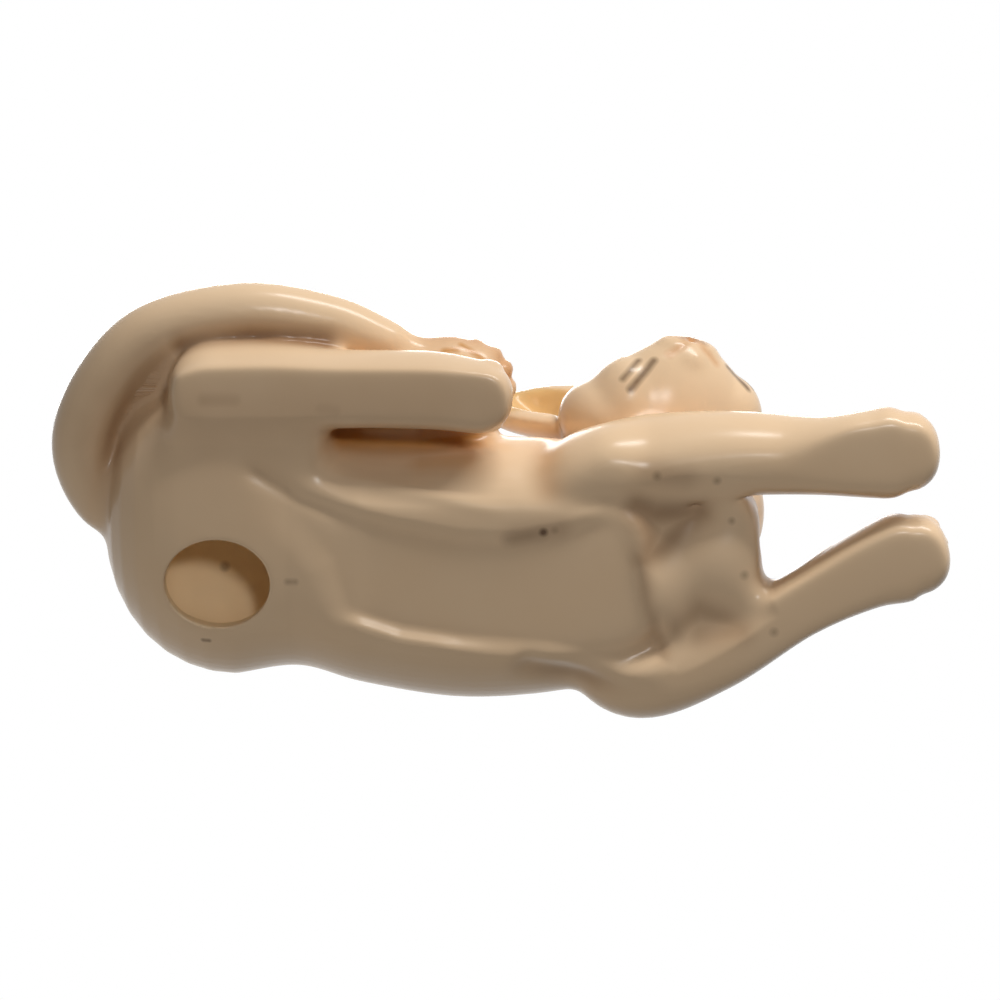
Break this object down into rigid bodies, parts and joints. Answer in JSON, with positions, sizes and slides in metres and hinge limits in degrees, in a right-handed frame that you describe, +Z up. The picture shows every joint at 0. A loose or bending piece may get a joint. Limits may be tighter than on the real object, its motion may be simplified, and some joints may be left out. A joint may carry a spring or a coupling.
{
  "type": "cat figurine",
  "caption": "Hollow glazed porcelain cat lying down, head turned aside, forelegs stretched forward, hind legs to one side and tail curled round the rump.",
  "frame": {"origin": "on the table, under the middle of the bounding box", "axes": "+X to the forepaws, +Y to the cat's left, +Z up"},
  "size_m": [0.1542, 0.0746, 0.0553],
  "materials": {
    "glaze": "clear glaze over ivory porcelain with tan airbrushed shadows",
    "ear_glaze": "clear glaze over porcelain with a gold tint in the ear"
  },
  "bodies": {
    "root": {"body_shell": "glaze", "head": "glaze", "right_ear": "ear_glaze", "left_ear": "ear_glaze", "right_foreleg": "glaze", "left_foreleg": "glaze", "lower_hind_leg": "glaze", "upper_hind_leg": "glaze", "tail": "glaze"}
  },
  "joints": []
}
